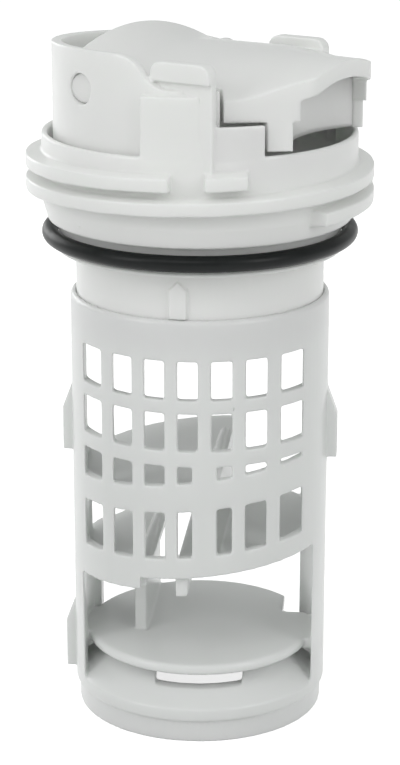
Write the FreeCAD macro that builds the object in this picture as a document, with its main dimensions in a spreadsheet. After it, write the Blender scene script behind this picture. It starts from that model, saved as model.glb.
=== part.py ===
"""Washing machine pump filter: a screw cap with a drain lever and a seal ring, on a lattice basket.

The filter stands on its foot. The origin is the middle of the foot's lower edge, +Z is up along the
screw axis and -Y is the lattice side of the basket. Sizes are millimetres and degrees.
"""
import FreeCAD, Part
import math
import os
import re
import Sketcher

Vector = FreeCAD.Vector
UP = Vector(0, 0, 1)

SIZES = {
    # spigot of the cap and the socket of the basket
    "neck_radius": 21.6,
    "neck_wall": 1.8,
    "neck_show": 8.0,
    "socket_clearance": 0.06,
    "socket_wall": 0.99,
    "socket_depth": 5.5,
    # basket wall and foot
    "basket_wall": 1.7,
    "basket_top": 76.8,
    "ring_round": 0.9,
    "base_round": 0.5,
    "foot_step": 0.65,
    "foot_height": 4.0,
    "back_ring_top": 9.0,
    "left_front_post": 2.95,
    "right_front_post": 1.95,
    "left_back_post": 3.4,
    "right_back_post": 5.1,
    "left_wall_back": 2.6,
    "left_wall_middle": 5.4,
    "back_band": 6.8,
    # lattice windows, from the top down
    "window_pitch": 5.7,
    "window_width": 3.5,
    "lattice_edge": 0.5,
    "wide_bar": 4.1,
    "ring_band": 7.15,
    "row_one_height": 6.75,
    "bar_one": 2.4,
    "row_two_height": 6.65,
    "bar_two": 2.7,
    "row_three_height": 3.05,
    "shelf_bar": 5.05,
    "row_four_height": 8.4,
    "lower_bar": 3.7,
    "left_drop": 2.1,
    "sill_tilt": 7.1,
    # shelves and webs inside the basket
    "shelf_tilt": 5.2,
    "shelf_thickness": 1.6,
    "shelf_bite": 0.6,
    "shelf_rise": 0.2,
    "upper_shelf_drop": 1.9,
    "right_shelf_edge": -2.2,
    "lip_thickness": 2.1,
    "lip_depth": 3.7,
    "left_shelf_edge": -7.35,
    "left_web_edge": -9.3,
    "left_web_front": 4.9,
    "upper_web_edge": 4.9,
    "web_thickness": 2.1,
    "web_back": 18.5,
    "rib_front_radius": 1.5,
    "rib_back_radius": 0.6,
    "rib_setback": 1.0,
    "rib_back": 12.4,
    "disc_level": 13.7,
    "disc_thickness": 2.0,
    "disc_gap": 0.6,
    "disc_round": 0.9,
    "disc_notch_side": 14.7,
    "disc_notch_front": 5.9,
    "ear_front": 6.2,
    "ear_back": 5.0,
    "ear_width": 2.0,
    # dish under the disc, in the front of the foot
    "dish_low": 6.3,
    "dish_reach": 8.4,
    "dish_wall": 2.2,
    "slot_middle": 1.35,
    "slot_half": 7.6,
    "slot_low": 8.9,
    # guide fins
    "fin_thickness": 3.0,
    "fin_reach": 1.8,
    "upper_fin_drop": 17.5,
    "upper_fin_height": 12.7,
    "lower_fin_low": 4.5,
    "lower_fin_height": 13.9,
    "fin_slope_height": 4.8,
    # cap: seal groove, collar and floor
    "groove_step": 2.85,
    "groove_wall": 2.05,
    "groove_height": 4.5,
    "seal_lip_reach": 0.55,
    "seal_lip_height": 0.7,
    "seal_section": 1.45,
    "seal_clearance": 0.05,
    "seal_rise": 1.9,
    "cone_step": 1.85,
    "cone_height": 3.2,
    "collar_radius": 27.2,
    "collar_wall": 2.2,
    "collar_height": 11.8,
    "rim_wall": 1.1,
    "rim_round": 0.4,
    "cup_depth": 4.0,
    "floor_thickness": 2.0,
    "key_width": 3.0,
    "key_height": 6.4,
    "key_reach": 0.7,
    "key_gap": 0.1,
    "key_angle": -67.8,
    # thread
    "thread_depth": 2.8,
    "thread_pitch": 4.0,
    "thread_turns": 1.93,
    "thread_rise": 0.5,
    "thread_base": 3.1,
    "thread_crest": 2.2,
    "thread_start_angle": -16.0,
    "thread_end_taper": 20.0,
    "notch_from": -68.0,
    "notch_to": -56.5,
    # hinge wall, guards and latch tabs of the cap, in the lever's own direction
    "cap_turn": -26.5,
    "wall_inset": 2.0,
    "wall_thickness": 1.8,
    "wall_height": 14.45,
    "wall_tilt": 3.75,
    "front_end_height": 10.6,
    "back_end_height": 11.0,
    "wall_end_angle": 50.6,
    "front_slope_from": -0.5,
    "back_slope_from": -18.0,
    "front_slope_length": 9.5,
    "back_slope_length": 13.0,
    "guard_from": 35.2,
    "guard_to": 79.3,
    "guard_height": 5.1,
    "guard_inset": 0.1,
    "pad_from": 55.0,
    "pad_height": 9.8,
    "pad_proud": 1.4,
    "ramp_height": 3.4,
    "tab_width": 11.2,
    "tab_thickness": 1.6,
    "front_tab_height": 15.2,
    "front_tab_middle": 10.7,
    "back_tab_height": 13.0,
    "back_tab_middle": 5.6,
    "tab_nose": 0.9,
    "tab_nose_height": 3.2,
    "tab_round": 2.0,
    # drain lever
    "lever_wall": 1.8,
    "lever_lift": 5.4,
    "lever_gap": 0.6,
    "tail_gap": 9.4,
    "tail_taper": 3.4,
    "tail_length": 4.0,
    "arm_gap": 4.0,
    "skirt_start_angle": 49.3,
    "nose_proud": 1.0,
    "nose_half_width": 9.6,
    "nose_round": 3.5,
    "tail_crown_height": 17.0,
    "dip_crown_height": 14.6,
    "mid_crown_height": 14.4,
    "nose_crown_height": 14.1,
    "dip_station": 10.0,
    "mid_station": 27.0,
    "tail_fall": 4.0,
    "arm_fall": 2.6,
    "flank_fall": 6.7,
    "nose_fall": 6.7,
    "arm_station": 24.0,
    "flank_station": 34.0,
    "mouth_flare": 1.5,
    "mouth_depth": 5.2,
    "mouth_drop": 3.1,
    "mouth_arch": 2.2,
    "lever_foot_from": 25.4,
    "lever_foot_to": 33.6,
    "foot_gap": 0.6,
    "pivot_setback": 5.7,
    "pivot_height": 9.4,
    "pivot_radius": 2.5,
    "pivot_clearance": 0.08,
    "pivot_recess": 1.1,
}

# Radii, reaches and levels that follow from the driving sizes
WORKED_OUT = {
    "basket_radius": "neck_radius + socket_clearance + socket_wall",
    "basket_bore": "basket_radius - basket_wall",
    "basket_outside": "basket_radius + basket_wall",
    "foot_radius": "basket_radius - foot_step",
    "socket_radius": "neck_radius + socket_clearance",
    "socket_floor": "basket_top - socket_depth",
    "row_one_high": "basket_top - ring_band",
    "row_one_low": "row_one_high - row_one_height",
    "row_two_high": "row_one_low - bar_one",
    "row_two_low": "row_two_high - row_two_height",
    "row_three_high": "row_two_low - bar_two",
    "row_three_low": "row_three_high - row_three_height",
    "row_four_high": "row_three_low - shelf_bar",
    "row_four_low": "row_four_high - row_four_height",
    "lattice_low": "row_four_low - lower_bar",
    "upper_shelf_level": "row_three_low - upper_shelf_drop",
    "right_shelf_level": "lattice_low + shelf_rise + shelf_thickness",
    "left_shelf_level": "right_shelf_level - left_drop",
    "disc_low": "disc_level - disc_thickness",
    "disc_middle": "disc_level - disc_thickness / 2",
    "disc_radius": "basket_bore - disc_gap",
    "dish_rim": "basket_radius - dish_reach",
    "upper_fin_high": "basket_top - upper_fin_drop",
    "upper_fin_low": "upper_fin_high - upper_fin_height",
    "lower_fin_high": "lower_fin_low + lower_fin_height",
    "neck_bore": "neck_radius - neck_wall",
    "groove_radius": "neck_radius + groove_step",
    "groove_bore": "groove_radius - groove_wall",
    "lip_radius": "groove_radius + seal_lip_reach",
    "cone_radius": "groove_radius + cone_step",
    "seal_lip_low": "basket_top + neck_show",
    "seal_lip_top": "seal_lip_low + seal_lip_height",
    "seal_level": "seal_lip_top + seal_rise",
    "groove_top": "seal_lip_top + groove_height",
    "cone_top": "groove_top + cone_height",
    "collar_bore": "collar_radius - collar_wall",
    "rim_bore": "collar_radius - rim_wall",
    "rim_level": "cone_top + collar_height",
    "floor_level": "rim_level - cup_depth",
    "floor_low": "floor_level - floor_thickness",
    "floor_middle": "floor_level - floor_thickness / 2",
    "crest_radius": "collar_radius + thread_depth",
    "thread_low": "cone_top + thread_rise",
    "wall_radius": "collar_radius - wall_inset",
    "wall_bore": "wall_radius - wall_thickness",
    "wall_middle": "wall_radius - wall_thickness / 2",
    "wall_top": "rim_level + wall_height",
    "wall_lean": "tan(wall_tilt) * collar_radius",
    "wall_high": "wall_top + wall_lean",
    "guard_level": "rim_level + guard_height",
    "pad_level": "rim_level + pad_height",
    "pad_radius": "wall_radius + pad_proud",
    "ramp_top": "rim_level + ramp_height",
    "guard_radius": "collar_radius - guard_inset",
    "lever_low": "rim_level + lever_lift",
    "lever_tail": "tail_gap - wall_bore",
    "arm_half_width": "wall_bore - arm_gap",
    "tail_half_width": "arm_half_width - tail_taper",
    "arm_reach": "lever_tail + tail_length",
    "nose_reach": "collar_radius + nose_proud",
    "tail_crown": "rim_level + tail_crown_height",
    "dip_crown": "rim_level + dip_crown_height",
    "mid_crown": "rim_level + mid_crown_height",
    "nose_crown": "rim_level + nose_crown_height",
    "mouth_half": "nose_half_width + mouth_flare",
    "mouth_top": "nose_crown - mouth_drop",
    "pivot_reach": "lever_tail + pivot_setback",
    "pivot_level": "rim_level + pivot_height",
}

SIZE_NAME = re.compile("[a-z]+_[a-z_]+")
FULL_TURN = 360
CLOSE = 1e-4
FRONT, BACK = -1, 1

# How a sketch numbers the ends of a line and its own two axes
START, END = 1, 2
LEVEL_AXIS, UPRIGHT_AXIS = -1, -2

doc = FreeCAD.newDocument("pump_filter")
sheet = doc.addObject("Spreadsheet::Sheet", "sizes")
for row, (alias, number) in enumerate(SIZES.items(), start=1):
    sheet.set(f"A{row}", alias)
    sheet.set(f"B{row}", str(number))
    sheet.setAlias(f"B{row}", alias)
doc.recompute()


def written_out(name):
    """One size name as a cell of the sheet, or as what it is worked out from."""
    if name in WORKED_OUT:
        return f"({bound(WORKED_OUT[name])})"
    return f"sizes.{name}"


def bound(formula):
    """A formula of size names, written as an expression on the sheet's cells."""
    return SIZE_NAME.sub(lambda name: written_out(name.group()), formula)


def size(formula):
    """The number that a size or a formula of sizes has now."""
    return float(sheet.evalExpression(bound(formula)))


def bind(item, **formulas):
    """Ties properties of an object to formulas of the sheet's sizes."""
    for prop, formula in formulas.items():
        item.setExpression(prop, bound(formula))
    return item


def turn(angle, base=Vector()):
    """A placement turned about the screw axis."""
    return FreeCAD.Placement(base, FreeCAD.Rotation(UP, angle))


def cylinder(name, radius, low, high, angle=f"{FULL_TURN}"):
    """An upright cylinder, or a sector of one that starts at +X."""
    item = doc.addObject("Part::Cylinder", name)
    bind(item, Radius=radius, Height=f"({high}) - ({low})", Angle=angle)
    item.setExpression(".Placement.Base.z", bound(low))
    return item


def slant_block(name, run, across, start, end, along_x=True):
    """A block whose lower and upper faces slope along its run, which follows X or else Y.

    run and across are pairs of formulas in the plane, start and end the lower and upper level there.
    """
    item = doc.addObject("Part::Wedge", name)
    near, far = across
    if along_x:
        near, far = f"-({across[1]})", f"-({across[0]})"
        item.Placement = turn(-90)
    bind(item, Ymin=run[0], Ymax=run[1], Xmin=near, Xmax=far, X2min=near, X2max=far)
    bind(item, Zmin=start[0], Zmax=start[1], Z2min=end[0], Z2max=end[1])
    return item


def block(name, x_range, y_range, z_range):
    """A plain upright block between three pairs of formulas."""
    return slant_block(name, x_range, y_range, z_range, z_range)


def fuse(name, items):
    """Several solids as one."""
    item = doc.addObject("Part::MultiFuse", name)
    item.Shapes = items
    return item


def join(name, items):
    """Several solids as one, added one after another."""
    whole = items[0]
    for step, item in enumerate(items[1:], start=1):
        last = step == len(items) - 1
        joined = doc.addObject("Part::Fuse", name if last else f"{name}_step_{step}")
        joined.Base = whole
        joined.Tool = item
        whole = joined
    return whole


def cut(name, base, tool):
    """One solid less another."""
    item = doc.addObject("Part::Cut", name)
    item.Base = base
    item.Tool = tool
    return item


def common(name, first, second):
    """What two solids share."""
    item = doc.addObject("Part::Common", name)
    item.Base = first
    item.Tool = second
    return item


def turned_body(name, profile):
    """A solid turned about the screw axis from a closed profile of (radius, level) formulas."""
    body = doc.addObject("PartDesign::Body", name)
    plane = next(item for item in body.Origin.OriginFeatures if item.Role == "XZ_Plane")
    sketch = body.newObject("Sketcher::SketchObject", f"{name}_profile")
    sketch.AttachmentSupport = (plane, [""])
    sketch.MapMode = "FlatFace"
    values = [Vector(size(radius), size(level), 0) for radius, level in profile]
    for index, corner in enumerate(values):
        following = values[(index + 1) % len(values)]
        sketch.addGeometry(Part.LineSegment(corner, following), False)
    for index in range(len(values)):
        before = (index - 1) % len(values)
        sketch.addConstraint(Sketcher.Constraint("Coincident", before, END, index, START))
    for index, (radius, level) in enumerate(profile):
        place_corner(sketch, index, "DistanceX", UPRIGHT_AXIS, radius, values[index].x)
        place_corner(sketch, index, "DistanceY", LEVEL_AXIS, level, values[index].y)
    turned = body.newObject("PartDesign::Revolution", f"{name}_turned")
    turned.Profile = sketch
    turned.ReferenceAxis = (sketch, ["V_Axis"])
    turned.Angle = FULL_TURN
    return body


def place_corner(sketch, index, kind, axis, formula, value):
    """Ties one coordinate of a profile's corner to its formula, or holds it on the axis."""
    if abs(value) < CLOSE:
        sketch.addConstraint(Sketcher.Constraint("PointOnObject", index, START, axis))
        return
    row_number = sketch.addConstraint(Sketcher.Constraint(kind, LEVEL_AXIS, START, index, START, value))
    sketch.setExpression(f"Constraints[{row_number}]", bound(formula))


def round_edges(name, base, radius, wanted):
    """Rounds the edges of a solid that the test picks."""
    doc.recompute()
    item = doc.addObject("Part::Fillet", name)
    item.Base = base
    amount = size(radius)
    item.Edges = [(n, amount, amount) for n, edge in enumerate(base.Shape.Edges, start=1) if wanted(edge)]
    return item


def is_ring(edge, radius, level):
    """Whether an edge is a full or part circle about the screw axis at this radius and level."""
    curve = edge.Curve
    if not isinstance(curve, Part.Circle):
        return False
    return abs(curve.Radius - radius) < CLOSE and abs(curve.Center.z - level) < CLOSE


# Basket

def tilted(level, x, tilt="shelf_tilt"):
    """A level that rises to the right, with the shelves' tilt or another."""
    return f"({level}) + tan({tilt}) * ({x})"


def window(row, column):
    """One straight window of the lattice; the two beside the wide bar are narrower in the lower rows."""
    name, low, high, low_tilt, high_tilt, beside_web = row
    left = f"window_pitch * ({column}) - window_width / 2"
    right = f"window_pitch * ({column}) + window_width / 2"
    if beside_web and column == 0:
        right = "window_pitch / 2 - wide_bar / 2"
    if beside_web and column == 1:
        left = "window_pitch / 2 + wide_bar / 2"
    edges = ((low, low_tilt), (high, high_tilt))
    start, end = [[tilted(level, x, tilt) if tilt else level for level, tilt in edges] for x in (left, right)]
    depth = ("-basket_outside", "0")
    side = "left" if column < 0 else "right"
    return slant_block(f"window_{name}_{side}_{abs(column)}", (left, right), depth, start, end)


ROWS = [
    ("one", "row_one_low", "row_one_high", None, None, False),
    ("two", "row_two_low", "row_two_high", None, None, False),
    ("three", "row_three_low", "row_three_high", "sill_tilt", None, True),
    ("four", "row_four_low", "row_four_high", "shelf_tilt", "shelf_tilt", True),
]


def basket_shell():
    """The tube of the basket with its foot and socket, its windows and its front and back gaps."""
    tube = turned_body("basket_tube", [
        ("basket_bore", "0"),
        ("foot_radius", "0"),
        ("foot_radius", "foot_height"),
        ("basket_radius", "foot_height"),
        ("basket_radius", "basket_top"),
        ("socket_radius", "basket_top"),
        ("socket_radius", "socket_floor"),
        ("basket_bore", "socket_floor"),
    ])
    top, foot = size("basket_top"), size("foot_height")
    outer = size("basket_radius")
    rounded = round_edges("basket_rounded", tube, "ring_round", lambda edge: is_ring(edge, outer, top))
    rounded = round_edges("base_rounded", rounded, "base_round", lambda edge: is_ring(edge, outer, foot))
    most = int(size("(basket_bore - lattice_edge - window_width / 2) / window_pitch"))
    tools = [window(row, column) for row in ROWS for column in range(-most, most + 1)]
    step = "left_shelf_edge - web_thickness / 2"
    for name, run, low in (
            ("front_gap", (step, "basket_radius - right_front_post"), "lattice_low"),
            ("left_front_gap", ("left_front_post - basket_radius", step), "lattice_low - left_drop")):
        levels = [("dish_low", tilted(low, x)) for x in run]
        tools.append(slant_block(name, run, ("-basket_outside", "0"), *levels))
    tools.append(block(
        "back_gap", ("left_back_post - basket_radius", "basket_radius - right_back_post"),
        ("0", "basket_outside"), ("back_ring_top", "basket_top - back_band")))
    tools.append(block(
        "upper_back_gap", ("-basket_outside", "0"), ("left_wall_back", "basket_outside"),
        ("upper_shelf_level", "basket_top - back_band")))
    run = ("-basket_outside", "0")
    tools.append(slant_block(
        "middle_back_gap", run, ("left_wall_middle", "basket_outside"),
        *[(tilted("left_shelf_level", x), "upper_shelf_level") for x in run]))
    return cut("basket_shell", rounded, fuse("basket_openings", tools))


def shelf(name, run, level):
    """A shelf's plate, rising to the right, before it is trimmed to the basket."""
    low = f"({level}) - shelf_thickness"
    start = (tilted(low, run[0]), tilted(level, run[0]))
    end = (tilted(low, run[1]), tilted(level, run[1]))
    return slant_block(name, run, ("-basket_outside", "basket_outside"), start, end)


def taper_rib(name, x, level):
    """The round rib that lies on a shelf beside its web, thinner towards the back."""
    rib = doc.addObject("Part::Cone", name)
    front = "basket_bore - rib_setback"
    bind(rib, Radius1="rib_front_radius", Radius2="rib_back_radius", Height=f"rib_back + {front}")
    rib.Placement = FreeCAD.Placement(Vector(), FreeCAD.Rotation(Vector(1, 0, 0), -90))
    rib.setExpression(".Placement.Base.x", bound(x))
    rib.setExpression(".Placement.Base.y", bound(f"-({front})"))
    rib.setExpression(".Placement.Base.z", bound(tilted(level, x)))
    return rib


def bottom_disc():
    """The round plate over the foot, notched at the back, with an ear into the wall on each side."""
    plain = cylinder("disc_plain", "disc_radius", "disc_low", "disc_level")
    rounded = round_edges("disc_rounded", plain, "disc_round",
                          lambda edge: isinstance(edge.Curve, Part.Circle))
    notch = block(
        "disc_notch", ("disc_notch_side", "basket_outside"), ("disc_notch_front", "basket_outside"),
        ("disc_low - disc_thickness", "disc_level + disc_thickness"))
    inner, outer = "basket_bore - ear_width", "basket_radius - basket_wall / 2"
    ears = [block(name, run, ("-ear_front", "ear_back"), ("disc_low", "disc_level"))
            for name, run in (("left_ear", (f"-({outer})", f"-({inner})")), ("right_ear", (inner, outer)))]
    return [cut("bottom_disc", rounded, notch)] + ears


def foot_dish():
    """The funnel in the front of the foot, which runs in and up under the disc, with a slot in its middle."""
    funnel = turned_body("dish_funnel", [
        ("basket_radius", "dish_low"),
        ("dish_rim", "disc_middle"),
        ("dish_rim - dish_wall", "disc_middle"),
        ("basket_radius - basket_wall / 2", "dish_low - basket_wall"),
    ])
    front = block("dish_front", ("-basket_outside", "basket_outside"), ("-basket_outside", "0"),
                  ("0", "disc_level"))
    slot = block("dish_slot", ("slot_middle - slot_half", "slot_middle + slot_half"),
                 ("-basket_outside", "-dish_rim / 2"), ("slot_low", "disc_low"))
    return cut("foot_dish", common("dish_half", funnel, front), slot)


def basket_inside():
    """Shelves, webs and ribs, trimmed to the basket's wall."""
    deep = ("-basket_outside", "web_back")
    left_web = ("left_web_edge - web_thickness", "left_web_edge")
    upper_web = ("upper_web_edge - web_thickness", "upper_web_edge")
    lip = ("right_shelf_edge", "right_shelf_edge + lip_thickness")
    pieces = [
        shelf("upper_shelf", ("-basket_outside", "upper_web_edge"), "upper_shelf_level"),
        shelf("right_shelf", ("right_shelf_edge", "basket_outside"), "right_shelf_level"),
        shelf("left_shelf", ("-basket_outside", "left_shelf_edge"), "left_shelf_level"),
        slant_block("left_web", left_web, ("-left_web_front", "web_back"), *[
            ("disc_middle", tilted("left_shelf_level", x)) for x in left_web]),
        slant_block("upper_web", upper_web, deep, *[
            (tilted("lattice_low", x), tilted("upper_shelf_level", x)) for x in upper_web]),
        slant_block("right_lip", lip, deep, *[
            (tilted("lattice_low - lip_depth", x), tilted("right_shelf_level", x)) for x in lip]),
        taper_rib("upper_rib", "upper_web_edge - rib_front_radius", "upper_shelf_level"),
        taper_rib("left_rib", "left_shelf_edge - rib_front_radius", "left_shelf_level"),
    ]
    inside = cylinder("basket_inside", "basket_bore + shelf_bite", "0", "basket_top")
    return [common(f"{piece.Name}_trimmed", piece, inside) for piece in pieces]


def fin(name, side, low, high):
    """A guide fin on one side of the basket, with a sloped top."""
    root = "basket_radius - basket_wall / 2"
    reach = "basket_radius + fin_reach"
    rise = "fin_slope_height * basket_wall / 2 / fin_reach"
    across = ("-fin_thickness / 2", "fin_thickness / 2")
    inner, outer = (low, f"{high} + {rise}"), (low, f"{high} - fin_slope_height")
    if side > 0:
        return slant_block(name, (root, reach), across, inner, outer)
    return slant_block(name, (f"-({reach})", f"-({root})"), across, outer, inner)


def filter_basket():
    """The whole basket moulding."""
    fins = [
        fin("upper_left_fin", -1, "upper_fin_low", "upper_fin_high"),
        fin("upper_right_fin", 1, "upper_fin_low", "upper_fin_high"),
        fin("lower_left_fin", -1, "lower_fin_low", "lower_fin_high"),
    ]
    return join("filter_basket", [basket_shell(), foot_dish()] + fins + bottom_disc() + basket_inside())


# Cap

def sector(name, inner, outer, low, high, start, sweep):
    """A curved wall about the screw axis, from one angle on through a sweep."""
    wall = f"(({outer}) - ({inner}))"
    ring = cut(name, cylinder(f"{name}_outer", outer, low, high, sweep),
               cylinder(f"{name}_inner", inner, f"{low} - {wall}", f"{high} + {wall}"))
    ring.Placement = turn(size(start))
    return ring


def mirrored_sectors(name, inner, outer, low, high, start, stop):
    """The same curved wall on both sides of the lever's middle plane."""
    sweep = f"({stop}) - ({start})"
    return [
        sector(f"{name}_back", inner, outer, low, high, start, sweep),
        sector(f"{name}_front", inner, outer, low, high, f"-({stop})", sweep),
    ]


def cap_shell():
    """The turned shell: spigot, seal groove, cone, collar and floor."""
    shell = turned_body("cap_shell", [
        ("neck_bore", "socket_floor"),
        ("neck_radius", "socket_floor"),
        ("neck_radius", "seal_lip_low"),
        ("lip_radius", "seal_lip_low"),
        ("lip_radius", "seal_lip_top"),
        ("groove_radius", "seal_lip_top"),
        ("groove_radius", "groove_top"),
        ("cone_radius", "groove_top"),
        ("collar_radius", "cone_top"),
        ("collar_radius", "rim_level"),
        ("rim_bore", "rim_level"),
        ("rim_bore", "floor_level"),
        ("0", "floor_level"),
        ("0", "floor_low"),
        ("collar_bore", "floor_low"),
        ("collar_bore", "cone_top"),
        ("groove_bore", "groove_top"),
        ("groove_bore", "seal_lip_top + neck_wall"),
        ("neck_bore", "seal_lip_low"),
    ])
    collar, rim = size("collar_radius"), size("rim_level")
    bore = size("rim_bore")
    return round_edges("cap_rounded", shell, "rim_round", lambda edge: (
        is_ring(edge, collar, rim) or is_ring(edge, bore, rim)))


def thread():
    """The single-start thread, with both ends tapered and a gap in its upper turn."""
    helix = doc.addObject("Part::Helix", "thread_path")
    bind(helix, Pitch="thread_pitch", Height="thread_pitch * thread_turns", Radius="collar_radius")
    section = doc.addObject("Part::Feature", "thread_section")
    root, crest = size("collar_radius - rim_wall / 2"), size("crest_radius")
    base, flat = size("thread_base / 2"), size("thread_crest / 2")
    corners = [Vector(root, 0, -base), Vector(crest, 0, -flat), Vector(crest, 0, flat), Vector(root, 0, base)]
    section.Shape = Part.makePolygon(corners + corners[:1])
    ridge = doc.addObject("Part::Sweep", "thread_ridge")
    ridge.Sections = [section]
    ridge.Spine = (helix, ["Edge1"])
    ridge.Solid = True
    ridge.Frenet = True
    doc.recompute()
    start = size("thread_start_angle")
    ridge.Placement = turn(start, Vector(0, 0, size("thread_low")))
    end = start + FULL_TURN * size("thread_turns")
    tools = [taper("thread_foot", start, -1), taper("thread_head", end, 1), thread_notch()]
    return cut("thread", ridge, fuse("thread_cuts", tools))


def taper(name, angle, side):
    """A block that cuts one end of the thread to a slant, from the collar out to the crest."""
    item = doc.addObject("Part::Box", name)
    bind(item, Length="crest_radius", Width="crest_radius", Height="thread_pitch")
    lean = size("thread_end_taper")
    level = size("thread_low - thread_pitch / 2")
    if side > 0:
        level += size("thread_pitch * thread_turns")
    corner = Vector(size("collar_radius"), 0, level)
    local = FreeCAD.Placement(corner, FreeCAD.Rotation(UP, -lean if side > 0 else lean - 90))
    item.Placement = turn(angle).multiply(local)
    return item


def thread_notch():
    """The gap in the upper turn of the thread."""
    turns_below = f"({FULL_TURN} + notch_from - thread_start_angle) / {FULL_TURN}"
    low = f"thread_low + thread_pitch * ({turns_below} + 1 / 2)"
    return sector("thread_notch", "collar_radius", "crest_radius + rim_wall", low, f"{low} + thread_pitch",
                  "notch_from", "notch_to - notch_from")


def plate(name, edges, way):
    """A solid pushed out from a closed flat outline of edges."""
    item = doc.addObject("Part::Feature", name)
    item.Shape = Part.Face(Part.Wire(edges)).extrude(way)
    return item


def lines(corners):
    """The straight edges of a closed outline."""
    return [Part.makeLine(a, b) for a, b in zip(corners, corners[1:] + corners[:1])]


def wall_slope(name, side, slope_from, slope_length, end_height):
    """What is taken off the hinge wall on one side, above an S-shaped slope of two equal arcs."""
    top = size(f"wall_top - ({side}) * tan(wall_tilt) * wall_middle")
    end = size(f"rim_level + {end_height}")
    start, run = size(slope_from), size(slope_length)
    drop = top - end
    bend = (run ** 2 + drop ** 2) / (4 * drop)
    half = math.atan(drop / run)
    over = size("collar_radius")
    middle = Vector(start + run / 2, 0, (top + end) / 2)
    crest = Vector(start + bend * math.sin(half), 0, top - bend * (1 - math.cos(half)))
    hollow = Vector(start + run - bend * math.sin(half), 0, end + bend * (1 - math.cos(half)))
    corners = [Vector(start + run, 0, end), Vector(over, 0, end), Vector(over, 0, top + drop),
               Vector(start, 0, top + drop), Vector(start, 0, top)]
    edges = [
        Part.Arc(corners[-1], crest, middle).toShape(),
        Part.Arc(middle, hollow, corners[0]).toShape(),
    ] + [Part.makeLine(a, b) for a, b in zip(corners, corners[1:])]
    return plate(name, edges, Vector(0, side * over, 0))


def pivot_pin(name, radius, reach):
    """A round bar along the hinge axis, as far out on both sides."""
    item = doc.addObject("Part::Cylinder", name)
    bind(item, Radius=radius, Height=f"2 * ({reach})")
    item.Placement = FreeCAD.Placement(Vector(), FreeCAD.Rotation(Vector(1, 0, 0), -90))
    item.setExpression(".Placement.Base.x", bound("pivot_reach"))
    item.setExpression(".Placement.Base.y", bound(f"-({reach})"))
    item.setExpression(".Placement.Base.z", bound("pivot_level"))
    return item


def hinge_wall():
    """The wall that carries the lever: its top falls to the back, its ends slope down to the latch tabs."""
    wall = sector("hinge_wall_ring", "wall_bore", "wall_radius", "floor_middle", "wall_high",
                  "wall_end_angle", f"{FULL_TURN} - 2 * wall_end_angle")
    whole, above = ("-collar_radius", "collar_radius"), "wall_high + wall_thickness"
    tools = [
        slant_block("wall_crown_cut", whole, whole, ("wall_high", above),
                    ("wall_top - wall_lean", above), along_x=False),
        wall_slope("front_slope", FRONT, "front_slope_from", "front_slope_length", "front_end_height"),
        wall_slope("back_slope", BACK, "back_slope_from", "back_slope_length", "back_end_height"),
        pivot_pin("pivot_holes", "pivot_radius + pivot_clearance", "collar_radius"),
    ]
    return cut("hinge_wall", wall, fuse("hinge_wall_cuts", tools))


def latch_tab(name, side, middle, height):
    """A latch tab that stands in the hinge wall, with a nose on its outside and rounded upper corners."""
    top = f"rim_level + {height}"
    ends = (f"{middle} - tab_width / 2", f"{middle} + tab_width / 2")
    plane = f"({side}) * sqrt(wall_middle^2 - {middle}^2)"
    inside = f"{plane} - ({side}) * tab_thickness / 2"
    outside = f"{plane} + ({side}) * tab_thickness / 2"
    nose = f"{plane} + ({side}) * (tab_thickness / 2 + tab_nose)"
    stem = block(f"{name}_stem", ends, (inside, outside)[::side], ("floor_level", f"{top} - tab_nose_height"))
    head = block(f"{name}_head", ends, (inside, nose)[::side], (f"{top} - tab_nose_height", top))
    high = size(top)
    rounded = round_edges(f"{name}_rounded", head, "tab_round", lambda edge: all(
        abs(v.Point.z - high) < CLOSE for v in edge.Vertexes)
        and abs(edge.Vertexes[0].Point.x - edge.Vertexes[1].Point.x) < CLOSE)
    return fuse(name, [stem, rounded])


def pad_ramps():
    """The sloped feet of the two pads, from the rim up to the pads' faces."""
    ring = turned_body("ramp_ring", [
        ("rim_bore", "floor_level"),
        ("guard_radius", "floor_level"),
        ("guard_radius", "rim_level"),
        ("pad_radius", "ramp_top"),
        ("rim_bore", "ramp_top"),
    ])
    sectors = mirrored_sectors("ramp", "wall_middle", "collar_radius",
                               "floor_level", "ramp_top", "pad_from", "guard_to")
    return [common(f"{piece.Name}_trimmed", ring, piece) for piece in sectors]


def neck_key():
    """The raised key with a pointed top on the spigot, just above the basket's ring."""
    half, low = size("key_width / 2"), size("basket_top + key_gap")
    high = low + size("key_height")
    root = size("neck_radius - neck_wall / 2")
    corners = [Vector(root, -half, low), Vector(root, half, low), Vector(root, half, high - half),
               Vector(root, 0, high), Vector(root, -half, high - half)]
    reach = size("neck_wall / 2 + key_reach")
    key = plate("neck_key", lines(corners), Vector(reach, 0, 0))
    key.Placement = turn(size("key_angle"))
    return key


def screw_cap():
    """The whole cap moulding, turned to its place over the basket."""
    pieces = [cap_shell(), thread(), hinge_wall()]
    pieces += mirrored_sectors("guard", "rim_bore + guard_inset", "guard_radius",
                               "floor_level", "guard_level", "guard_from", "pad_from")
    pieces += mirrored_sectors("pad", "wall_middle", "pad_radius",
                               "floor_middle", "pad_level", "pad_from", "guard_to")
    pieces += pad_ramps()
    pieces += [
        latch_tab("front_tab", FRONT, "front_tab_middle", "front_tab_height"),
        latch_tab("back_tab", BACK, "back_tab_middle", "back_tab_height"),
        neck_key(),
    ]
    whole = join("screw_cap", pieces)
    whole.Placement = turn(size("cap_turn"))
    return whole


# Lever


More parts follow.
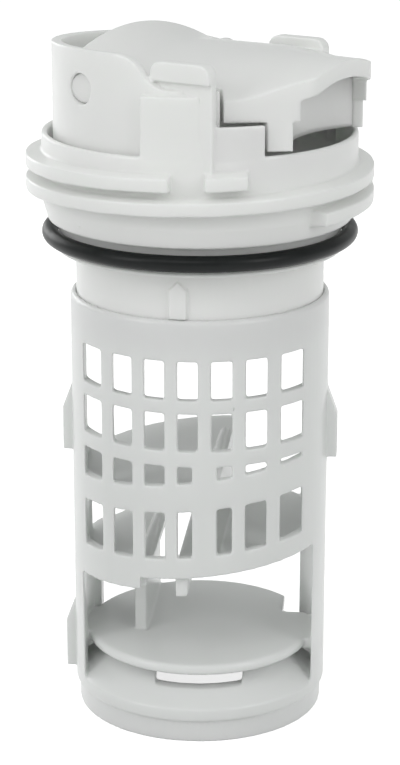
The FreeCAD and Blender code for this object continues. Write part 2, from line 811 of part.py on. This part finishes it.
def lever_outline():
    """Corners of the lever in plan: tail, arms inside the hinge wall, then skirt and nose outside it."""
    inner = size("wall_bore - lever_gap")
    arm = size("arm_half_width")
    step = math.radians(size("skirt_start_angle"))
    arc_start = math.asin(arm / inner)
    outer = size("wall_radius")
    half = [
        Vector(size("lever_tail"), size("tail_half_width"), 0),
        Vector(size("arm_reach"), arm, 0),
        Vector(inner * math.cos(arc_start), arm, 0),
        Vector(inner * math.cos(step), inner * math.sin(step), 0),
        Vector(outer * math.cos(step), outer * math.sin(step), 0),
        Vector(size("nose_reach"), size("nose_half_width"), 0),
    ]
    return half + [Vector(corner.x, -corner.y, 0) for corner in reversed(half)]


def eased(x, stations):
    """A value that eases over from each (place, value) station to the next."""
    for (start, low), (end, high) in zip(stations, stations[1:]):
        if x < end:
            share = max(0, (x - start) / (end - start))
            return low + (high - low) * share ** 2 * (3 - 2 * share)
    return stations[-1][1]


def lever_saddle(depth):
    """Everything down to this depth under the lever's top: a middle line that falls off to both sides."""
    crown, fall = [[(size(place), size(value)) for place, value in stations] for stations in (
        (("lever_tail", "tail_crown"), ("lever_tail + dip_station", "dip_crown"),
         ("lever_tail + mid_station", "mid_crown"), ("nose_reach", "nose_crown")),
        (("lever_tail", "tail_fall"), ("lever_tail + arm_station", "arm_fall"),
         ("lever_tail + flank_station", "flank_fall"), ("nose_reach", "nose_fall")))]
    margin = size("lever_wall") * 2
    x_from, x_to = size("lever_tail") - margin, size("nose_reach") + margin
    y_most, arm = size("wall_radius") + margin, size("arm_half_width")
    along, across = 12, 4
    grid = []
    for i in range(along + 1):
        x = x_from + (x_to - x_from) * i / along
        places = [y_most * (2 * j / across - 1) for j in range(across + 1)]
        grid.append([Vector(x, y, eased(x, crown) - eased(x, fall) * (y / arm) ** 2) for y in places])
    surface = Part.BSplineSurface()
    surface.interpolate(grid)
    return surface.toShape().extrude(Vector(0, 0, -depth))


def upright(outline, low, high):
    """An upright prism over a flat outline."""
    face = Part.Face(Part.Wire(lines(outline)))
    face.translate(Vector(0, 0, low))
    return face.extrude(Vector(0, 0, high - low))


def rounded_upright(outline, low, high, corners, radius):
    """An upright prism with some of its corner edges rounded."""
    solid = upright(outline, low, high)
    edges = [edge for edge in solid.Edges if len(edge.Vertexes) == 2 and all(
        min((Vector(v.X, v.Y, 0) - corner).Length for corner in corners) < CLOSE for v in edge.Vertexes)
        and abs(edge.Length - (high - low)) < CLOSE]
    return solid.makeFillet(radius, edges)


def inward(outline, amount):
    """The outline's corners moved in by a wall's thickness."""
    face = Part.Face(Part.Wire(lines(outline))).makeOffset2D(-amount, join=2)
    return [vertex.Point for vertex in face.OuterWire.OrderedVertexes]


def lever_shell():
    """The hollow shell of the lever, with its feet beside the mouth."""
    wall, low = size("lever_wall"), size("lever_low")
    high = size("tail_crown") + wall
    depth = high - size("rim_level")
    outline = lever_outline()
    inset = inward(outline, wall)
    outside = rounded_upright(outline, low, high, outline[5:7], size("nose_round"))
    roof = lever_saddle(depth)
    roof.translate(Vector(0, 0, -wall))
    shell = doc.addObject("Part::Feature", "lever_shell")
    shell.Shape = outside.common(lever_saddle(depth)).cut(upright(inset, low - wall, high).common(roof))
    foot_low = size("rim_level + foot_gap")
    band = doc.addObject("Part::Feature", "lever_band")
    band.Shape = upright(outline, foot_low, low + wall).cut(upright(inset, foot_low - wall, high))
    feet = mirrored_sectors("lever_foot", "neck_radius", "2 * collar_radius",
                            "rim_level", "lever_low + lever_wall", "lever_foot_from", "lever_foot_to")
    return join("lever_with_feet", [shell] + [common(f"{foot.Name}_trimmed", foot, band) for foot in feet])


def lever_mouth():
    """The opening in the lever's nose, under an arched top."""
    start, half = size("nose_reach - mouth_depth"), size("mouth_half")
    low, side = size("lever_low - lever_wall"), size("mouth_top - mouth_arch")
    corners = [Vector(start, half, side), Vector(start, half, low),
               Vector(start, -half, low), Vector(start, -half, side)]
    edges = [Part.makeLine(a, b) for a, b in zip(corners, corners[1:])]
    edges.append(Part.Arc(corners[-1], Vector(start, 0, size("mouth_top")), corners[0]).toShape())
    return plate("lever_mouth", edges, Vector(size("mouth_depth + lever_wall"), 0, 0))


def trunnions():
    """The two pins that turn in the hinge wall, with their ends a little below its surface."""
    pin = pivot_pin("trunnion_bar", "pivot_radius", "sqrt(wall_radius^2 - pivot_reach^2) - pivot_recess")
    gap = "arm_half_width - lever_wall / 2"
    middle = block("trunnion_gap", ("pivot_reach - 2 * pivot_radius", "pivot_reach + 2 * pivot_radius"),
                   (f"-({gap})", gap), ("pivot_level - 2 * pivot_radius", "pivot_level + 2 * pivot_radius"))
    return cut("trunnions", pin, middle)


def drain_lever():
    """The whole lever, turned to its place in the cap."""
    opened = cut("lever_opened", lever_shell(), lever_mouth())
    whole = join("drain_lever", [opened, trunnions()])
    whole.Placement = turn(size("cap_turn"))
    return whole


def seal_ring():
    """The rubber ring in the groove."""
    ring = doc.addObject("Part::Torus", "seal_ring")
    bind(ring, Radius1="groove_radius + seal_clearance + seal_section", Radius2="seal_section")
    ring.setExpression(".Placement.Base.z", bound("seal_level"))
    return ring


def write(parts):
    """Checks every object of the document, then writes one file for each sub-part."""
    doc.recompute()
    for item in doc.Objects:
        if "Invalid" in item.State or "Error" in item.State:
            raise RuntimeError(f"{item.Name} did not build: {item.State}")
    for part in parts:
        if part.Shape.isNull() or not part.Shape.isValid():
            raise RuntimeError(f"{part.Label} has no valid shape")
    os.makedirs("parts", exist_ok=True)
    for part in parts:
        print(part.Label, len(part.Shape.Solids), "solids", round(part.Shape.Volume, 1), "mm3")
        part.Shape.exportStep(f"parts/{part.Label}.step")


write([filter_basket(), screw_cap(), seal_ring(), drain_lever()])
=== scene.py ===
"""Looks of the washing machine pump filter: moulded white plastic, a black seal ring, studio light."""
import math

import bmesh
import bpy
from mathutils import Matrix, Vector


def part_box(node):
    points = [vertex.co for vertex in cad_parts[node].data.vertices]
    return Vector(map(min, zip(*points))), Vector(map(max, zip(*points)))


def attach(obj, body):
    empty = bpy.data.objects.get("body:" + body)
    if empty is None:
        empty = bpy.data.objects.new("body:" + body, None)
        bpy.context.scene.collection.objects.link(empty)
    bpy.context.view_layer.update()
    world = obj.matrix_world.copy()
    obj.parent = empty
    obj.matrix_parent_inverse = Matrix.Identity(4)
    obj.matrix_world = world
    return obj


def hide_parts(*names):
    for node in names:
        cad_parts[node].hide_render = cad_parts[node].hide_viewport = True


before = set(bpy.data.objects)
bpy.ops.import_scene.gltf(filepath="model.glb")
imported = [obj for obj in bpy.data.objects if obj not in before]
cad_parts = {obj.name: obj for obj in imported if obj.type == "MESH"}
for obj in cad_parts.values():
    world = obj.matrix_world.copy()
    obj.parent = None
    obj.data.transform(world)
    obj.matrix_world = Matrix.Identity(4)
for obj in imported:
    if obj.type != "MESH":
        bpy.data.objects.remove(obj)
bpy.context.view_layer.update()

# Camera, fitted to the ellipses of the foot, the ring and the thread in a 400 x 765 image
IMAGE_HEIGHT = 765
FOCAL_PIXELS = 2304
CAMERA_AZIMUTH = math.radians(5.5)
CAMERA_REACH = 0.390
CAMERA_HEIGHT = 0.180
CAMERA_PITCH = math.radians(17.2)
CAMERA_NEAR = 0.01

# Skin of the mouldings: merging distance, voxel sizes, rounds and share of smoothing, triangles kept
MERGE = 1e-6
FORM_GRAIN = 0.0002
SOFTENING, RELAXING = 2, 3
SMOOTHING = 0.5
MOST_TRIANGLES = 190000

# Seal ring: steps round the ring and round its section, how uneven the rubber is and how finely
RING_STEPS = 320
SECTION_STEPS = 40
RUBBER_GIVE = 0.00005
GIVE_SCALE = 160

# Wall behind the lever's mouth, in the cap's own turn: middle, bow, half width, levels and thickness
CAP_TURN = math.radians(-26.5)
WALL_MIDDLE, WALL_BOW, WALL_HALF = 0.0205, 0.0035, 0.0122
WALL_LOW, WALL_HIGH, WALL_FALL = 0.1058, 0.1174, 0.0037
WALL_THICKNESS = 0.0012
WALL_COLUMNS, WALL_ROWS = 32, 14
LEVEL_FACE = 0.5

# White plastic: colours, roughness, clear coat and milky depth, with the scales of its noises. The cap's
# colours are paler than the basket's as painted light: the cap's brighter look under the lamps is put
# into its white.
BASKET_COLOURS = (0.775, 0.785, 0.775), (0.795, 0.805, 0.795)
CAP_PAINTED_LIGHT_COLOURS = (0.855, 0.86, 0.845), (0.87, 0.875, 0.86)
PLASTIC_ROUGHNESS = (0.31,) * 3, (0.37,) * 3
COAT_WEIGHT, COAT_ROUGHNESS = 0.2, 0.12
MILKINESS, MILK_DEPTHS = 0.5, (0.0024, 0.0026, 0.0024)
MOTTLE_SCALE, GLOSS_SCALE, PEEL_SCALE = 30, 60, 120
PEEL_STRENGTH = 0.05

# Black rubber: colours, roughness and shine, with the scales of its noises
RUBBER_COLOURS = (0.003, 0.004, 0.004), (0.009, 0.011, 0.011)
RUBBER_ROUGHNESS = (0.3,) * 3, (0.4,) * 3
RUBBER_SHINE = 0.22
DUST_SCALE, PORE_SCALE = 300, 450
PORE_STRENGTH = 0.08

# Both: depth of the fine relief, and the stretch of a noise over which one value turns into the other
RELIEF_DEPTH = 0.0002
RAMP_START, RAMP_END = 0.15, 0.85

# Floor: half its width, its grey and the light added for the eye
FLOOR_HALF = 60
PAPER_COLOUR = (0.65, 0.65, 0.65, 1)
PAPER_LIFT = 0.75

# Powers of the soft boxes in watts, and the strength of the room's own light at eye level and overhead
LEFT_POWER, RIGHT_POWER, FRONT_POWER, BACK_POWER = 1.0, 0.95, 0.15, 1.0
HORIZON_STRENGTH, ZENITH_STRENGTH = 0.68, 0.5
ROOM_COLOUR = (0.9, 0.92, 0.91, 1)
BODY_AIM, CAP_AIM = (0, 0, 0.07), (0, 0, 0.1)


def linked(name, content):
    """A new object of the scene, at the origin."""
    thing = bpy.data.objects.new(name, content)
    bpy.context.scene.collection.objects.link(thing)
    return thing


def finished_mesh(form, name):
    """The mesh that a form's modifiers make, with the form itself taken away."""
    mesh = bpy.data.meshes.new_from_object(form.evaluated_get(bpy.context.evaluated_depsgraph_get()))
    bpy.data.objects.remove(form)
    mesh.name = name
    return mesh


def node_tree(material):
    """A node tree with only a shader and an output."""
    material.use_nodes = True
    tree = material.node_tree
    tree.nodes.clear()
    output = tree.nodes.new("ShaderNodeOutputMaterial")
    shader = tree.nodes.new("ShaderNodeBsdfPrincipled")
    tree.links.new(shader.outputs["BSDF"], output.inputs["Surface"])
    return tree, shader


def grain(tree, scale, detail):
    """Noise on the object's own coordinates, in metres."""
    place = tree.nodes.new("ShaderNodeTexCoord")
    noise = tree.nodes.new("ShaderNodeTexNoise")
    noise.inputs["Scale"].default_value = scale
    noise.inputs["Detail"].default_value = detail
    tree.links.new(place.outputs["Object"], noise.inputs["Vector"])
    return noise.outputs["Fac"]


def ramp(tree, source, low, high):
    """Maps a noise to two values or colours, with a soft change between them."""
    spread = tree.nodes.new("ShaderNodeValToRGB")
    spread.color_ramp.interpolation = "EASE"
    for end, position, value in zip(spread.color_ramp.elements, (RAMP_START, RAMP_END), (low, high)):
        end.position = position
        end.color = (*value, 1)
    tree.links.new(source, spread.inputs["Fac"])
    return spread.outputs["Color"]


def relief(tree, source, strength):
    """Fine bumps after a noise."""
    bump = tree.nodes.new("ShaderNodeBump")
    bump.inputs["Strength"].default_value = strength
    bump.inputs["Distance"].default_value = RELIEF_DEPTH
    tree.links.new(source, bump.inputs["Height"])
    return bump.outputs["Normal"]


def white_plastic(name, dull, bright):
    """Glossy white moulding, a little milky, with the faint mottle and orange peel of a worn tool."""
    material = bpy.data.materials.new(name)
    tree, shader = node_tree(material)
    colour = ramp(tree, grain(tree, MOTTLE_SCALE, 1), dull, bright)
    tree.links.new(colour, shader.inputs["Base Color"])
    gloss = ramp(tree, grain(tree, GLOSS_SCALE, 1), *PLASTIC_ROUGHNESS)
    tree.links.new(gloss, shader.inputs["Roughness"])
    peel = relief(tree, grain(tree, PEEL_SCALE, 0), PEEL_STRENGTH)
    tree.links.new(peel, shader.inputs["Normal"])
    shader.inputs["Coat Weight"].default_value = COAT_WEIGHT
    shader.inputs["Coat Roughness"].default_value = COAT_ROUGHNESS
    shader.inputs["Subsurface Weight"].default_value = MILKINESS
    shader.inputs["Subsurface Radius"].default_value = MILK_DEPTHS
    shader.inputs["Subsurface Scale"].default_value = 1
    return material


def seal_rubber():
    """Black rubber with a soft shine and faint moulding dust."""
    material = bpy.data.materials.new("ring_black")
    tree, shader = node_tree(material)
    dust = ramp(tree, grain(tree, DUST_SCALE, 4), *RUBBER_COLOURS)
    tree.links.new(dust, shader.inputs["Base Color"])
    gloss = ramp(tree, grain(tree, DUST_SCALE, 3), *RUBBER_ROUGHNESS)
    tree.links.new(gloss, shader.inputs["Roughness"])
    pores = relief(tree, grain(tree, PORE_SCALE, 2), PORE_STRENGTH)
    tree.links.new(pores, shader.inputs["Normal"])
    shader.inputs["Specular IOR Level"].default_value = RUBBER_SHINE
    return material


def studio_floor():
    """A white floor that reads as paper white to the camera and keeps the object's shadow."""
    mesh = bpy.data.meshes.new("floor")
    corners = [(x * FLOOR_HALF, y * FLOOR_HALF, 0) for x, y in ((-1, -1), (1, -1), (1, 1), (-1, 1))]
    mesh.from_pydata(corners, [], [(0, 1, 2, 3)])
    floor = linked("floor", mesh)
    material = bpy.data.materials.new("floor_paper")
    material.use_nodes = True
    tree = material.node_tree
    tree.nodes.clear()
    output = tree.nodes.new("ShaderNodeOutputMaterial")
    paper = tree.nodes.new("ShaderNodeBsdfDiffuse")
    paper.inputs["Color"].default_value = PAPER_COLOUR
    lift = tree.nodes.new("ShaderNodeEmission")
    seen = tree.nodes.new("ShaderNodeLightPath")
    scale = tree.nodes.new("ShaderNodeMath")
    scale.operation = "MULTIPLY"
    scale.inputs[1].default_value = PAPER_LIFT
    rays = seen.outputs["Is Camera Ray"]
    for other in ("Is Glossy Ray", "Is Transmission Ray"):
        either = tree.nodes.new("ShaderNodeMath")
        either.operation = "MAXIMUM"
        tree.links.new(rays, either.inputs[0])
        tree.links.new(seen.outputs[other], either.inputs[1])
        rays = either.outputs["Value"]
    tree.links.new(rays, scale.inputs[0])
    tree.links.new(scale.outputs["Value"], lift.inputs["Strength"])
    add = tree.nodes.new("ShaderNodeAddShader")
    tree.links.new(paper.outputs["BSDF"], add.inputs[0])
    tree.links.new(lift.outputs["Emission"], add.inputs[1])
    tree.links.new(add.outputs["Shader"], output.inputs["Surface"])
    mesh.materials.append(material)


def soft_box(name, place, aim, width, height, power):
    """A rectangular studio lamp that points at a spot."""
    lamp = bpy.data.lights.new(name, "AREA")
    lamp.shape = "RECTANGLE"
    lamp.size = width
    lamp.size_y = height
    lamp.energy = power
    holder = linked(name, lamp)
    holder.location = place
    holder.rotation_euler = (Vector(aim) - Vector(place)).to_track_quat("-Z", "Y").to_euler()


def studio_light():
    """Soft boxes beside and over the camera, one behind the object, and a room with a darker ceiling."""
    soft_box("left_box", (-0.5, -0.42, 0.42), BODY_AIM, 0.25, 0.4, LEFT_POWER)
    soft_box("right_box", (0.52, -0.4, 0.42), BODY_AIM, 0.25, 0.4, RIGHT_POWER)
    soft_box("front_box", (-0.04, -0.26, 0.34), CAP_AIM, 0.2, 0.12, FRONT_POWER)
    soft_box("back_box", (-0.5, 0.5, 0.25), BODY_AIM, 0.4, 0.3, BACK_POWER)
    world = bpy.data.worlds.new("room")
    bpy.context.scene.world = world
    world.use_nodes = True
    tree = world.node_tree
    shell = tree.nodes["Background"]
    shell.inputs["Color"].default_value = ROOM_COLOUR
    place = tree.nodes.new("ShaderNodeTexCoord")
    axes = tree.nodes.new("ShaderNodeSeparateXYZ")
    tree.links.new(place.outputs["Generated"], axes.inputs["Vector"])
    fade = tree.nodes.new("ShaderNodeMapRange")
    fade.inputs["To Min"].default_value = HORIZON_STRENGTH
    fade.inputs["To Max"].default_value = ZENITH_STRENGTH
    tree.links.new(axes.outputs["Z"], fade.inputs["Value"])
    tree.links.new(fade.outputs["Result"], shell.inputs["Strength"])


def camera():
    """The camera at the photograph's place and angle."""
    lens = bpy.data.cameras.new("camera")
    lens.sensor_fit = "VERTICAL"
    lens.angle_y = 2 * math.atan(IMAGE_HEIGHT / 2 / FOCAL_PIXELS)
    lens.clip_start = CAMERA_NEAR
    holder = linked("camera", lens)
    side, ahead = math.sin(CAMERA_AZIMUTH), math.cos(CAMERA_AZIMUTH)
    holder.location = (CAMERA_REACH * side, -CAMERA_REACH * ahead, CAMERA_HEIGHT)
    holder.rotation_euler = (math.pi / 2 - CAMERA_PITCH, 0, CAMERA_AZIMUTH)
    bpy.context.scene.camera = holder


def moulding(node, body, material):
    """A moulded copy of a CAD node: the same form, with every edge and corner softly rounded."""
    shape = bmesh.new()
    shape.from_mesh(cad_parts[node].data)
    bmesh.ops.remove_doubles(shape, verts=shape.verts, dist=MERGE)
    mesh = bpy.data.meshes.new(f"{node}_form")
    shape.to_mesh(mesh)
    shape.free()
    form = linked(f"{node}_form", mesh)
    skin = form.modifiers.new("skin", "REMESH")
    skin.mode = "VOXEL"
    skin.voxel_size = FORM_GRAIN
    soften = form.modifiers.new("soften", "SMOOTH")
    soften.factor = SMOOTHING
    soften.iterations = SOFTENING
    thin = form.modifiers.new("thin", "DECIMATE")
    thin.use_collapse_triangulate = True
    bpy.context.view_layer.update()
    faces = len(form.evaluated_get(bpy.context.evaluated_depsgraph_get()).data.polygons)
    thin.ratio = min(1, MOST_TRIANGLES / (2 * faces))
    relax = form.modifiers.new("relax", "SMOOTH")
    relax.factor = SMOOTHING
    relax.iterations = RELAXING
    finished = finished_mesh(form, f"{node}_moulding")
    for polygon in finished.polygons:
        polygon.use_smooth = True
    finished.materials.append(material)
    piece = linked(f"{node}_moulding", finished)
    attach(piece, body)
    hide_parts(node)
    return piece


def finger_wall(material):
    """The bowed wall behind the lever's mouth, from the lever's roof down to just above the cap's rim."""
    sheet = bmesh.new()
    columns = []
    for i in range(WALL_COLUMNS + 1):
        across = 2 * i / WALL_COLUMNS - 1
        reach, side = WALL_MIDDLE + WALL_BOW * across ** 2, WALL_HALF * across
        top = WALL_HIGH - WALL_FALL * across ** 2
        x = reach * math.cos(CAP_TURN) - side * math.sin(CAP_TURN)
        y = reach * math.sin(CAP_TURN) + side * math.cos(CAP_TURN)
        levels = [WALL_LOW + (top - WALL_LOW) * j / WALL_ROWS for j in range(WALL_ROWS + 1)]
        columns.append([sheet.verts.new((x, y, level)) for level in levels])
    for left, right in zip(columns, columns[1:]):
        for low in range(WALL_ROWS):
            sheet.faces.new((left[low], right[low], right[low + 1], left[low + 1]))
    mesh = bpy.data.meshes.new("finger_wall_form")
    sheet.to_mesh(mesh)
    sheet.free()
    form = linked("finger_wall_form", mesh)
    body = form.modifiers.new("body", "SOLIDIFY")
    body.thickness = WALL_THICKNESS
    body.offset = -1
    finished = finished_mesh(form, "finger_wall")
    for polygon in finished.polygons:
        polygon.use_smooth = abs(polygon.normal.z) < LEVEL_FACE
    finished.materials.append(material)
    piece = linked("finger_wall", finished)
    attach(piece, "lever")
    return piece


def ring_sweep(material):
    """Geometry nodes that sweep a round section along a circle and leave the rubber slightly uneven."""
    group = bpy.data.node_groups.new("ring_sweep", "GeometryNodeTree")
    group.interface.new_socket("Geometry", in_out="INPUT", socket_type="NodeSocketGeometry")
    for name in ("Ring Radius", "Section Radius", "Level", "Give"):
        group.interface.new_socket(name, in_out="INPUT", socket_type="NodeSocketFloat")
    for name in ("Ring Steps", "Section Steps"):
        group.interface.new_socket(name, in_out="INPUT", socket_type="NodeSocketInt")
    group.interface.new_socket("Geometry", in_out="OUTPUT", socket_type="NodeSocketGeometry")
    made, link = group.nodes.new, group.links.new
    given, result = made("NodeGroupInput"), made("NodeGroupOutput")
    path, section = made("GeometryNodeCurvePrimitiveCircle"), made("GeometryNodeCurvePrimitiveCircle")
    for circle, steps, radius in (
            (path, "Ring Steps", "Ring Radius"),
            (section, "Section Steps", "Section Radius")):
        link(given.outputs[steps], circle.inputs["Resolution"])
        link(given.outputs[radius], circle.inputs["Radius"])
    sweep = made("GeometryNodeCurveToMesh")
    link(path.outputs["Curve"], sweep.inputs["Curve"])
    link(section.outputs["Curve"], sweep.inputs["Profile Curve"])
    lift = made("ShaderNodeCombineXYZ")
    link(given.outputs["Level"], lift.inputs["Z"])
    seated = made("GeometryNodeSetPosition")
    link(sweep.outputs["Mesh"], seated.inputs["Geometry"])
    link(lift.outputs["Vector"], seated.inputs["Offset"])
    unevenness = made("ShaderNodeTexNoise")
    unevenness.inputs["Scale"].default_value = GIVE_SCALE
    unevenness.inputs["Detail"].default_value = 1
    swell = made("ShaderNodeMath")
    swell.operation = "MULTIPLY"
    link(unevenness.outputs["Fac"], swell.inputs[0])
    link(given.outputs["Give"], swell.inputs[1])
    push = made("ShaderNodeVectorMath")
    push.operation = "SCALE"
    normal = made("GeometryNodeInputNormal")
    link(normal.outputs["Normal"], push.inputs[0])
    link(swell.outputs["Value"], push.inputs["Scale"])
    uneven = made("GeometryNodeSetPosition")
    link(seated.outputs["Geometry"], uneven.inputs["Geometry"])
    link(push.outputs["Vector"], uneven.inputs["Offset"])
    realised = made("GeometryNodeRealizeInstances")
    link(uneven.outputs["Geometry"], realised.inputs["Geometry"])
    smooth = made("GeometryNodeSetShadeSmooth")
    link(realised.outputs["Geometry"], smooth.inputs["Geometry"])
    dressed = made("GeometryNodeSetMaterial")
    dressed.inputs["Material"].default_value = material
    link(smooth.outputs["Geometry"], dressed.inputs["Geometry"])
    link(dressed.outputs["Geometry"], result.inputs["Geometry"])
    return group


def seal(material):
    """The rubber ring in its groove, swept over the CAD ring's own place."""
    low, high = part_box("seal_ring")
    section = (high[2] - low[2]) / 2
    values = {
        "Ring Radius": (high[0] - low[0]) / 2 - section,
        "Section Radius": section - RUBBER_GIVE,
        "Level": (high[2] + low[2]) / 2,
        "Give": RUBBER_GIVE,
        "Ring Steps": RING_STEPS,
        "Section Steps": SECTION_STEPS,
    }
    group = ring_sweep(material)
    form = linked("seal_form", bpy.data.meshes.new("seal_form"))
    sweep = form.modifiers.new("sweep", "NODES")
    sweep.node_group = group
    for socket in group.interface.items_tree:
        if socket.in_out == "INPUT" and socket.name in values:
            sweep[socket.identifier] = values[socket.name]
    piece = linked("rubber_ring", finished_mesh(form, "rubber_ring"))
    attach(piece, "filter")
    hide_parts("seal_ring")
    return piece


basket_white = white_plastic("basket_white", *BASKET_COLOURS)
# The cap gets the paler white, painted light for the cap looking brighter than the basket
cap_white = white_plastic("cap_white", *CAP_PAINTED_LIGHT_COLOURS)
rubber = seal_rubber()
for node, body, material in (
        ("filter_basket", "filter", basket_white),
        ("screw_cap", "filter", cap_white),
        ("drain_lever", "lever", cap_white)):
    moulding(node, body, material)
finger_wall(cap_white)
seal(rubber)
studio_floor()
studio_light()
camera()
bpy.context.scene.view_settings.view_transform = "Standard"
